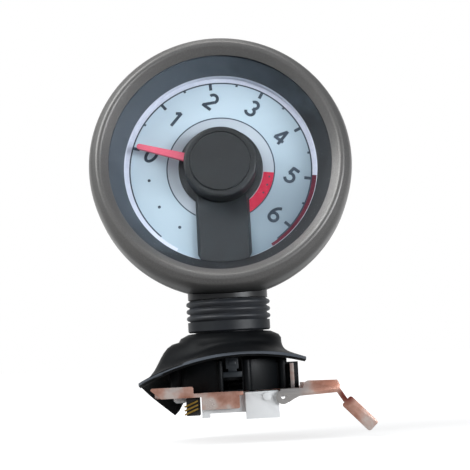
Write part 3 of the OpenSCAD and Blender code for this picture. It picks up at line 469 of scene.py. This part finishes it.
def lamp_resin():
    """Cast epoxy lamp with its phosphor: creamy and slightly see-through."""
    material, tree, shader = finish_of(
        "lamp_cast_resin", "#efe9c0", 0.25, Subsurface_Weight=0.3)
    shader.inputs["Subsurface Scale"].default_value = 0.5 * MM
    tree.links.new(ramp(tree, cloudy(tree, 1.0), [(0.3, "#e6dca0"), (0.7, "#f6f2d8")]),
                   shader.inputs["Base Color"])
    return material


def loom_tape():
    """Wires wrapped in matt cloth tape, its turns 6 mm apart along the run."""
    material, tree, shader = finish_of("loom_cloth_tape", "#141416", 0.8, Sheen_Weight=0.3)
    turns = add(tree, "ShaderNodeTexWave", {
        "Vector": where(tree), "Scale": 1000 / 6.0 / 20, "Distortion": 1.0},
        bands_direction="Z")
    tree.links.new(ramp(tree, turns.outputs["Fac"], [(0.0, "#0e0e10"), (0.2, "#1d1d20")]),
                   shader.inputs["Base Color"])
    grain(tree, shader, 0.35, 0.03)
    return material


POD = pod_lacquer()
LENS = lens_polycarbonate()
MASK = mask_with_pale_foot()
TRIM = moulded_black("trim_moulded_abs", "#14191d", "#1d2429", 0.62, 0.35, 0.015)
CAP = moulded_black("cap_moulded_abs", "#0d1114", "#141a1e", 0.6, 0.35, 0.010)
HOUSING = moulded_black("housing_moulded_abs", "#0a0c0e", "#101316", 0.45, 0.6, 0.012, 0.2)
NECK = moulded_black("neck_moulded_abs", "#15181c", "#22262b", 0.48, 0.6, 0.012)
FOOT = foot_moulding()
CLIP = plain_moulding("clip_acetal", "#202428", "#2c3136", 0.38)
DIAL_FILM = dial_film()
DARK_INK = printed_ink("ink_slate", "#36414d", "#3f4a57")
RED_INK = printed_ink("ink_red", "#bd2a44", "#c93550")
# Printed red, darkened as painted shade for the outer red zone, where the dial lies in shade.
RED_INK_PAINTED_SHADE = printed_ink("ink_red_painted_shade", "#5d2231", "#6d2a3a")
DARK_STEEL = bright_steel("phosphated_steel", "#202225", "#2b2e31", 0.5, 0.6)
BORDER_INK = printed_ink("ink_pearl", "#c3c9d8", "#cdd2df")
NEEDLE = needle_paint()
SLEEVE = sleeve_rubber()
PLATING = bracket_plating()
STEEL = bright_steel("zinc_plated_steel", "#a5a19c", "#c2beb9", 0.32)
CORE = bright_steel("core_silicon_steel", "#7f8388", "#9a9ea3", 0.45)
ROTOR = bright_steel("rotor_sintered_ferrite", "#3c3f44", "#50545a", 0.55, 0.3)
COPPER = winding_copper()
BOARD = board_mask()
LAMP = lamp_resin()
LOOM = loom_tape()
NYLON = plain_moulding("natural_nylon", "#f0f0f0", "#f8f8f7", 0.40)
ACETAL = plain_moulding("gear_acetal", "#e6e6e2", "#f2f2ee", 0.32)
REFLECTOR = plain_moulding("reflector_white_abs", "#e4e5e3", "#f2f3f1", 0.45)
GUIDE = plain_moulding("guide_acrylic", "#dfe8ea", "#eef3f3", 0.15,
                       Transmission_Weight=0.6, IOR=1.49)
CASE = plain_moulding("motor_case_pbt", "#24272a", "#303438", 0.45)
CHIP = plain_moulding("chip_epoxy", "#17181a", "#212325", 0.60)
HEADER = plain_moulding("header_nylon", "#1f1c1b", "#2a2624", 0.45)
GOLD = bright_steel("terminal_gold_flash", "#b98f3e", "#dcb45f", 0.25)

NODE_FINISH = {
    "bezel_ring": POD, "rear_shell": POD, "lens": LENS, "mask_ring": MASK,
    "dial_plate": DIAL_FILM, "hub_trim": TRIM, "light_guide": GUIDE,
    "reflector_ring": REFLECTOR, "circuit_board": BOARD, "lamps": LAMP,
    "driver_chip": CHIP, "motor_case": CASE, "motor_cover": NYLON, "stator_core": CORE,
    "coils": COPPER, "gear_pin": STEEL, "board_screws": STEEL, "board_plug": NYLON,
    "pod_loom": LOOM, "needle": NEEDLE, "needle_cap": CAP, "output_gear": ACETAL,
    "middle_gear": ACETAL, "rotor": ROTOR, "neck_tube": NECK, "ribbed_sleeve": SLEEVE,
    "swivel_ring": DARK_STEEL, "tilt_pins": STEEL, "friction_washers": STEEL,
    "neck_loom": LOOM, "foot_cover": FOOT, "base_housing": HOUSING,
    "wave_washer": DARK_STEEL, "detent_clip": CLIP, "mounting_bracket": PLATING,
    "bracket_screws": NYLON, "socket_housing": NYLON, "pin_header": HEADER,
    "terminals": GOLD, "base_loom": LOOM,
}
for name, material in NODE_FINISH.items():
    set_finish(nodes[name], material)


# Small tools for pieces

SHARP_EDGE = 40.0       # degrees between two faces from which an edge is rounded
SMOOTH_UP_TO = 35.0     # degrees up to which two faces are shaded as one

def pick_only(obj):
    bpy.ops.object.select_all(action="DESELECT")
    obj.select_set(True)
    bpy.context.view_layer.objects.active = obj


def settle(obj, name, material, matrix=None):
    """Names a finished piece, puts its place into its mesh and gives it its finish."""
    obj.name = name
    obj.data.name = name
    pick_only(obj)
    bpy.ops.object.transform_apply(location=True, rotation=True, scale=True)
    if matrix is not None:
        obj.data.transform(matrix)
    set_finish(obj, material)
    return obj


def join(pieces, name):
    bpy.ops.object.select_all(action="DESELECT")
    for piece in pieces:
        piece.select_set(True)
    bpy.context.view_layer.objects.active = pieces[0]
    if len(pieces) > 1:
        bpy.ops.object.join()
    bpy.context.object.name = name
    return bpy.context.object


def turned(profile, steps, smooth_degrees):
    """A closed section of radii and heights in millimetres, spun round the Z axis."""
    bpy.ops.object.select_all(action="DESELECT")
    bpy.ops.mesh.primitive_circle_add(vertices=len(profile), radius=0.01)
    obj = bpy.context.object
    for vertex, (radius, height) in zip(obj.data.vertices, profile):
        vertex.co = Vector((radius, 0, height)) * MM
    bpy.ops.object.mode_set(mode="EDIT")
    bpy.ops.mesh.select_all(action="SELECT")
    bpy.ops.mesh.spin(steps=steps, angle=math.tau, center=(0, 0, 0), axis=(0, 0, 1))
    bpy.ops.mesh.select_all(action="SELECT")
    bpy.ops.mesh.remove_doubles(threshold=1e-6)
    bpy.ops.mesh.normals_make_consistent(inside=False)
    bpy.ops.object.mode_set(mode="OBJECT")
    bpy.ops.object.shade_smooth_by_angle(angle=math.radians(smooth_degrees))
    return obj


def softened(node, bevel_mm, body):
    """A merged copy of a CAD node with its sharp edges rounded, standing for that node."""
    pick_only(nodes[node])
    bpy.ops.object.duplicate()
    piece = bpy.context.object
    pick_only(piece)
    piece.parent = None
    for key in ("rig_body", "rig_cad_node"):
        if key in piece:
            del piece[key]
    bpy.ops.object.mode_set(mode="EDIT")
    bpy.ops.mesh.select_all(action="SELECT")
    bpy.ops.mesh.remove_doubles(threshold=2e-6)
    bpy.ops.mesh.dissolve_limited(angle_limit=math.radians(0.5))
    bpy.ops.object.mode_set(mode="OBJECT")
    if bevel_mm:
        bevel = piece.modifiers.new("rounded_edges", "BEVEL")
        bevel.width = bevel_mm * MM
        bevel.segments = 2
        bevel.limit_method = "ANGLE"
        bevel.angle_limit = math.radians(SHARP_EDGE)
        bevel.use_clamp_overlap = True
        bpy.ops.object.modifier_apply(modifier="rounded_edges")
    bpy.ops.object.shade_smooth_by_angle(angle=math.radians(SMOOTH_UP_TO))
    settle(piece, f"{node}_finished", NODE_FINISH[node])
    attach(piece, body)
    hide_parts(node)


# The dial's print

PRINT_W = 0.04          # mm above the dial's face
ZERO_DEG = 162.9
STEP_DEG = 34.45


def dial_point(radius, degrees, height=PRINT_W):
    turn = math.radians(degrees)
    return Vector((radius * math.cos(turn), radius * math.sin(turn), height)) * MM


def printed_band(inner, outer, first, last):
    """A flat band of ink between two radii, swept from one angle to another."""
    bpy.ops.mesh.primitive_plane_add(size=1)
    obj = bpy.context.object
    bpy.ops.object.mode_set(mode="EDIT")
    bpy.ops.mesh.select_all(action="SELECT")
    bpy.ops.mesh.delete(type="ONLY_FACE")
    bpy.ops.object.mode_set(mode="OBJECT")
    obj.data.vertices[0].co = dial_point(inner, first)
    obj.data.vertices[1].co = dial_point(outer, first)
    pick_only(obj)
    bpy.ops.object.mode_set(mode="EDIT")
    bpy.ops.mesh.select_all(action="DESELECT")
    bpy.ops.object.mode_set(mode="OBJECT")
    for vertex in obj.data.vertices[2:]:
        vertex.select = True
    bpy.ops.object.mode_set(mode="EDIT")
    bpy.ops.mesh.delete(type="VERT")
    bpy.ops.mesh.select_all(action="SELECT")
    steps = max(4, int(abs(last - first) / 2.5))
    bpy.ops.mesh.spin(steps=steps, angle=math.radians(first - last), center=(0, 0, 0),
                      axis=(0, 0, 1))
    bpy.ops.mesh.select_all(action="SELECT")
    bpy.ops.mesh.remove_doubles(threshold=1e-6)
    bpy.ops.mesh.normals_make_consistent(inside=False)
    bpy.ops.object.mode_set(mode="OBJECT")
    if obj.data.polygons[0].normal.z < 0:
        obj.data.flip_normals()
    return obj


def printed_dot(radius, degrees, size, height=PRINT_W):
    bpy.ops.mesh.primitive_circle_add(vertices=16, radius=size * MM, fill_type="NGON",
                                      location=dial_point(radius, degrees, height))
    return bpy.context.object


def printed_tick(outer, length, width, degrees):
    """A bar of ink that runs inwards from a radius."""
    bpy.ops.mesh.primitive_plane_add(size=1)
    obj = bpy.context.object
    obj.scale = (length * MM, width * MM, 1)
    obj.rotation_euler = (0, 0, math.radians(degrees))
    obj.location = dial_point(outer - length / 2, degrees)
    return obj


# Strokes of the numbers, in units of their height, from the lower left corner. An arc is
# its centre, its two radii and its two angles; a line is a list of points.
def bow(cx, cy, rx, ry, first, last, steps=14):
    return [(cx + rx * math.cos(math.radians(first + (last - first) * i / steps)),
             cy + ry * math.sin(math.radians(first + (last - first) * i / steps)))
            for i in range(steps + 1)]


NUMBER_STROKES = {
    "0": [bow(0.30, 0.47, 0.245, 0.42, 90, 450, 28)],
    "1": [[(0.12, 0.72), (0.36, 0.90)], [(0.36, 0.93), (0.36, 0.0)]],
    "2": [bow(0.30, 0.68, 0.235, 0.235, 170, -38), [(0.475, 0.545), (0.06, 0.08)],
          [(0.0, 0.08), (0.58, 0.08)]],
    "3": [bow(0.28, 0.690, 0.215, 0.205, 155, -80),
          bow(0.28, 0.270, 0.250, 0.215, 85, -160)],
    "4": [[(0.45, 0.0), (0.45, 0.93)], [(0.45, 0.90), (0.04, 0.27)],
          [(0.0, 0.27), (0.63, 0.27)]],
    "5": [[(0.54, 0.86), (0.14, 0.86)], [(0.165, 0.90), (0.12, 0.48)],
          bow(0.28, 0.295, 0.26, 0.245, 132, -150)],
    "6": [bow(0.58, 0.34, 0.52, 0.60, 108, 178), bow(0.31, 0.285, 0.245, 0.235, 90, 450, 28)],
}
NUMBER_HIGH = 5.95
STROKE_WIDE = 1.02
NUMBER_TURN = -41.0
# Distance from the axis in millimetres, and direction
NUMBER_AT = {"0": (23.2, 164.8), "1": (22.9, 127.7), "2": (23.5, 95.0), "3": (23.3, 60.2),
             "4": (22.7, 26.4), "5": (23.3, -8.4), "6": (23.5, -43.8)}


def printed_number(digit):
    """One number: its strokes as flat ribbons, all turned the same way on the dial."""
    radius, degrees = NUMBER_AT[digit]
    pieces = []
    for stroke in NUMBER_STROKES[digit]:
        bpy.ops.curve.primitive_nurbs_path_add()
        curve = bpy.context.object
        curve.data.splines.clear()
        spline = curve.data.splines.new("POLY")
        spline.points.add(len(stroke) - 1)
        for point, (x, y) in zip(spline.points, stroke):
            point.co = ((x - 0.31) * NUMBER_HIGH * MM, (y - 0.47) * NUMBER_HIGH * MM, 0, 1)
        curve.data.bevel_depth = STROKE_WIDE / 2 * MM
        curve.data.bevel_resolution = 2
        curve.data.use_fill_caps = True
        curve.data.twist_mode = "Z_UP"
        pick_only(curve)
        bpy.ops.object.convert(target="MESH")
        ribbon = bpy.context.object
        ribbon.scale = (1, 1, 0.06)
        pieces.append(ribbon)
    number = join(pieces, f"number_{digit}")
    pick_only(number)
    bpy.ops.object.transform_apply(location=True, rotation=True, scale=True)
    number.rotation_euler = (0, 0, math.radians(NUMBER_TURN))
    number.location = dial_point(radius, degrees)
    return number


OUTER_LINE = 29.75      # radii in millimetres
INNER_LINE = 17.6
OUTER_HALF, INNER_HALF = 0.24, 0.2      # half of each line's width
BORDER_OUT = 31.6
RED_IN = 14.0
SCALE_DOTS, RED_DOTS = 23.7, 16.1
RED_FIRST, RED_LAST = -7.0, -60.0


def print_dial():
    scale = [
        printed_band(OUTER_LINE - OUTER_HALF, OUTER_LINE + OUTER_HALF, -55, 227),
        printed_band(INNER_LINE - INNER_HALF, INNER_LINE + INNER_HALF, -60, 240),
    ]
    for i in range(7):
        scale.append(printed_tick(OUTER_LINE + 0.2, 2.5, 1.0, ZERO_DEG - STEP_DEG * i))
    for i in range(6):
        scale.append(printed_tick(OUTER_LINE + 0.2, 1.05, 0.75, ZERO_DEG - STEP_DEG * (i + 0.5)))
    for degrees in (186.4, 209.8, 233.1):
        scale.append(printed_dot(SCALE_DOTS, degrees, 0.52))
    for degrees in (-12.5, -22.5, -33.0):
        scale.append(printed_dot(RED_DOTS, degrees, 0.33, PRINT_W * 2))
    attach(settle(join(scale, "dial_scale"), "dial_scale", DARK_INK, DIAL), "pod")
    numbers = [printed_number(digit) for digit in NUMBER_AT]
    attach(settle(join(numbers, "dial_numbers"), "dial_numbers", DARK_INK, DIAL), "pod")
    border = printed_band(OUTER_LINE + OUTER_HALF, BORDER_OUT, RED_FIRST, 240)
    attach(settle(border, "dial_border", BORDER_INK, DIAL), "pod")
    red = printed_band(RED_IN, INNER_LINE - INNER_HALF, RED_FIRST, RED_LAST)
    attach(settle(red, "dial_red_zone", RED_INK, DIAL), "pod")
    # The outer red zone: printed red, darkened as painted shade.
    rim = printed_band(OUTER_LINE + OUTER_HALF, BORDER_OUT, RED_FIRST, RED_LAST)
    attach(settle(rim, "dial_red_rim", RED_INK_PAINTED_SHADE, DIAL), "pod")


# The ribbed sleeve, between the neck and the pod

def ribbed_sleeve():
    """Revolved from its profile, three full round ribs and their narrow grooves."""
    low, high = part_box("ribbed_sleeve")
    base, top = low.z / MM, high.z / MM
    ribs = 3
    pitch = (top - base - 0.2) / ribs
    profile = [(11.3, base), (12.4, base)]
    for i in range(ribs):
        z = base + 0.1 + i * pitch
        profile += [(12.45, z + 0.05), (12.65, z + 0.12 * pitch), (13.25, z + 0.22 * pitch),
                    (13.58, z + 0.40 * pitch), (13.60, z + 0.60 * pitch),
                    (13.30, z + 0.80 * pitch), (12.70, z + 0.92 * pitch)]
    profile += [(12.4, top), (11.3, top)]
    obj = settle(turned(profile, 96, 60), "sleeve_bellows", SLEEVE)
    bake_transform(obj)
    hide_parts("ribbed_sleeve")


# Turned pieces of the pod, in the dial's own frame: radius and height in mm

LENS_TOP = 10.2         # height of the flat rim's upper face
LENS_RISE = 3.38        # of the dome above it
LENS_RIM = 37.1
LENS_OPEN = 35.1        # radius at which the dome starts
LENS_THICK = 1.5
DOME_STEPS = 24
FINE, FINER = 144, 180  # steps in a turn
SEAM_BACK = -0.4
SHELL_SIDE = [(42.42, SEAM_BACK), (42.42, -8.74), (38.52, -18.75), (29.5, -23.02)]
SHELL_BACK = [(29.5, -23.02), (20.9, -26.92), (11.0, -28.02), (0.0, -28.02)]
SKIN = 0.3


def curve_through(p0, p1, p2, p3, steps):
    """Points along a Bezier curve, without its last one."""
    points = []
    for i in range(steps):
        t = i / steps
        a, b, c, d = (1 - t) ** 3, 3 * t * (1 - t) ** 2, 3 * t * t * (1 - t), t ** 3
        points.append((a * p0[0] + b * p1[0] + c * p2[0] + d * p3[0],
                       a * p0[1] + b * p1[1] + c * p2[1] + d * p3[1]))
    return points


def lens_piece():
    """The domed lens, turned finely so that what it mirrors keeps an even edge."""
    shares = [1 - i / DOME_STEPS for i in range(DOME_STEPS + 1)]
    dome = [(LENS_OPEN * share, LENS_TOP + LENS_RISE * (1 - share ** 2)) for share in shares]
    rim = [(LENS_RIM, LENS_TOP - LENS_THICK), (LENS_RIM, LENS_TOP)]
    under = [(radius, height - LENS_THICK) for radius, height in reversed(dome)]
    lens = turned(rim + dome + under, FINE, 40)
    settle(lens, "lens_moulded", LENS, DIAL)
    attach(lens, "pod")
    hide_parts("lens")


def shell_skin():
    """The lacquered outside of the rear shell, an even curve over the solid's own facets."""
    outside = curve_through(*SHELL_SIDE, 28) + curve_through(*SHELL_BACK, 24)
    outside.append(SHELL_BACK[-1])
    inside = [(max(radius - SKIN, 0.0), height + (SKIN if radius < 36 else 0.0))
              for radius, height in reversed(outside)]
    skin = turned(outside + inside, FINER, SMOOTH_UP_TO)
    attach(settle(skin, "shell_lacquered", POD, DIAL), "pod")


# Bezel, on the CAD ring's own outline up to the brow, with a wider slope down to the lens

BROW = [(42.5, 5.8), (42.46, 7.2), (42.30, 8.5), (41.98, 9.8), (41.57, 10.82), (41.05, 11.8)]
CREST = (38.95, 11.65)
CREST_RADIUS = 1.4
SLOPE_FOOT = (36.0, 10.5)
BEZEL_INSIDE = [(35.85, 10.3), (37.3, 10.3), (37.3, -3.2), (38.8, -3.2), (38.8, 9.6),
                (40.1, 8.6), (40.6, 5.8), (40.6, -0.2), (42.4, -0.2), (42.5, 2.8)]


def bezel_piece():
    """Revolved from its section: a full brow, a rounded crest and a broad inner slope."""
    crest = [(CREST[0] + CREST_RADIUS * math.cos(math.radians(turn)),
              CREST[1] + CREST_RADIUS * math.sin(math.radians(turn)))
             for turn in range(30, 139, 9)]
    bezel = turned(BROW + crest + [(37.0, 11.62), SLOPE_FOOT] + BEZEL_INSIDE, FINER,
                   SMOOTH_UP_TO)
    settle(bezel, "bezel_turned", POD, DIAL)
    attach(bezel, "pod")
    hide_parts("bezel_ring")


# Room

FLOOR_GAP = 2 * MM      # between the floor and the lowest piece
FLOOR_GLOW_NEAR = 0.78  # under the object, where its shadow has to show
ROOM_LIGHT = 0.50


def seen_directly(tree, also_mirrored=None):
    """1 for the rays that show the white background: the camera's, and those by which metal
    and glass show it."""
    path = add(tree, "ShaderNodeLightPath")
    mirrored = add(tree, "ShaderNodeMath", {
        0: path.outputs["Is Glossy Ray"], 1: path.outputs["Is Transmission Ray"]},
        operation="MAXIMUM").outputs["Value"]
    if also_mirrored is not None:
        mirrored = add(tree, "ShaderNodeMath", {0: mirrored, 1: also_mirrored},
                       operation="MULTIPLY").outputs["Value"]
    return add(tree, "ShaderNodeMath", {
        0: path.outputs["Is Camera Ray"], 1: mirrored}, operation="MAXIMUM").outputs["Value"]


def place_floor():
    """A pale floor that takes the object's shadow and meets the white background unseen."""
    low = cad_box[0][2]
    bpy.ops.mesh.primitive_plane_add(size=8, location=(0, 0, low - FLOOR_GAP))
    floor = bpy.context.object
    floor.name = "floor"
    material, tree, shader = finish_of("floor_white", "#9c9c9c", 0.9, Specular_IOR_Level=0.0)
    split = add(tree, "ShaderNodeSeparateXYZ", {"Vector": where(tree)})
    behind = add(tree, "ShaderNodeMapRange", {
        "Value": split.outputs["Y"], "From Min": 0.1, "From Max": 0.5})
    distance = add(tree, "ShaderNodeVectorMath", {0: where(tree)}, operation="LENGTH")
    fade = add(tree, "ShaderNodeMapRange", {
        "Value": distance.outputs["Value"], "From Min": 0.08, "From Max": 0.25,
        "To Min": FLOOR_GLOW_NEAR, "To Max": 1.0})
    glow = add(tree, "ShaderNodeMath", {
        0: seen_directly(tree, behind.outputs["Result"]), 1: fade.outputs["Result"]},
        operation="MULTIPLY")
    shader.inputs["Emission Color"].default_value = (1, 1, 1, 1)
    tree.links.new(glow.outputs["Value"], shader.inputs["Emission Strength"])
    set_finish(floor, material)


def set_world():
    """White where it is the background; otherwise a room, bright above and dim below."""
    world = bpy.data.worlds.new("studio")
    bpy.context.scene.world = world
    world.use_nodes = True
    tree = world.node_tree
    tree.nodes.clear()
    split = add(tree, "ShaderNodeSeparateXYZ", {
        "Vector": add(tree, "ShaderNodeTexCoord").outputs["Generated"]})
    behind = add(tree, "ShaderNodeMapRange", {
        "Value": split.outputs["Y"], "From Min": 0.5, "From Max": 0.9})
    height = add(tree, "ShaderNodeMapRange", {
        "Value": split.outputs["Z"], "From Min": -1.0, "From Max": 1.0})
    room_tone = ramp(tree, height.outputs["Result"], [
        (0.42, "#54585e"), (0.47, "#d5dae2"), (0.53, "#d5dae2"), (0.60, "#6a7078"),
        (0.88, "#70767e"), (1.0, "#c9d0da")])
    white = add(tree, "ShaderNodeBackground", {"Color": (1, 1, 1, 1), "Strength": 1.0})
    room = add(tree, "ShaderNodeBackground", {"Color": room_tone, "Strength": ROOM_LIGHT})
    mix = add(tree, "ShaderNodeMixShader", {
        0: seen_directly(tree, behind.outputs["Result"]), 1: room.outputs["Background"],
        2: white.outputs["Background"]})
    out = add(tree, "ShaderNodeOutputWorld", {"Surface": mix.outputs["Shader"]})
    out.is_active_output = True


# Radius to which each node's sharp edges are rounded, in millimetres
EDGES = {
    "foot_cover": 0.0, "base_housing": 0.18, "mounting_bracket": 0.25, "socket_housing": 0.2,
    "pin_header": 0.15, "detent_clip": 0.12, "bracket_screws": 0.2, "hub_trim": 0.3,
}

place_camera()
place_lights()
set_world()
place_floor()
bpy.context.scene.view_settings.view_transform = "Standard"

print_dial()
ribbed_sleeve()
bezel_piece()
for node, bevel_mm in EDGES.items():
    softened(node, bevel_mm, "pod" if node == "hub_trim" else "base")
lens_piece()
shell_skin()
